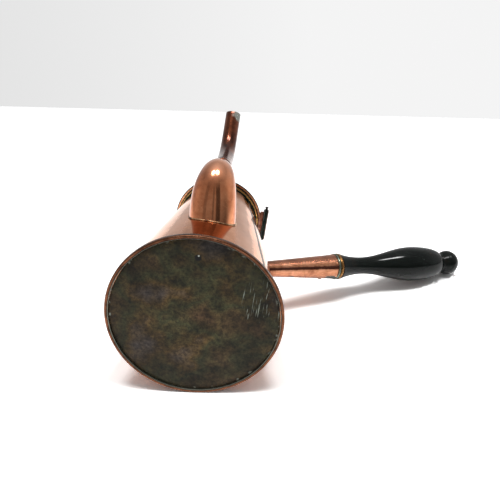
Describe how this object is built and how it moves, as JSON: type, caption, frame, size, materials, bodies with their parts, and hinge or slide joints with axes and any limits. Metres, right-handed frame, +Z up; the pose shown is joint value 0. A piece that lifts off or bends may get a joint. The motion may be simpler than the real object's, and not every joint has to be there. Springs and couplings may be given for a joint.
{
  "type": "coffee pot",
  "caption": "Tapered copper coffee pot with a tall bent spout, a slanted turned wooden side handle in a copper socket, and a hinged domed lid with a knob.",
  "frame": {"origin": "on the body's axis, at the level that the foot rim stands on", "axes": "+Z up along the body's axis, -Y towards the spout, +X towards the handle and the lid's hinge"},
  "size_m": [0.3145, 0.1794, 0.2438],
  "materials": {
    "copper": "polished, lightly worn sheet copper",
    "aged_copper": "tarnished copper, rubbed bright on its edges",
    "base_patina": "dark mottled patina with scratches",
    "solder": "dull tin solder",
    "brass": "old rubbed brass",
    "dark_brass": "dark brass with verdigris",
    "iron": "dark iron",
    "ebonised_wood": "black stained and polished turned wood"
  },
  "bodies": {
    "pot": {"body_wall": "copper", "foot_rim": "aged_copper", "base_plate": "base_patina", "mouth_band": "aged_copper", "spout_horn": "copper", "spout_root_seam": "solder", "spout_tube": "copper", "spout_joint_ring": "aged_copper", "handle_socket": "copper", "handle_root_seam": "solder", "handle_collar": "brass", "handle_grip": "ebonised_wood", "handle_nail": "iron", "hinge_lower_leaf": "dark_brass", "hinge_pin": "iron"},
    "lid": {"lid_flange": "aged_copper", "lid_bezel": "aged_copper", "lid_dome": "copper", "finial_washer": "brass", "finial_knob": "ebonised_wood", "finial_stud": "iron", "finial_nut": "iron", "hinge_upper_leaf": "dark_brass", "lid_rivet_1": "aged_copper", "lid_rivet_2": "aged_copper"}
  },
  "joints": [
    {"name": "lid_hinge", "type": "hinge", "parent": "pot", "child": "lid", "pos_m": [0.0487, 0, 0.206], "axis": [0, 1, 0], "range_deg": [0, 105]}
  ]
}
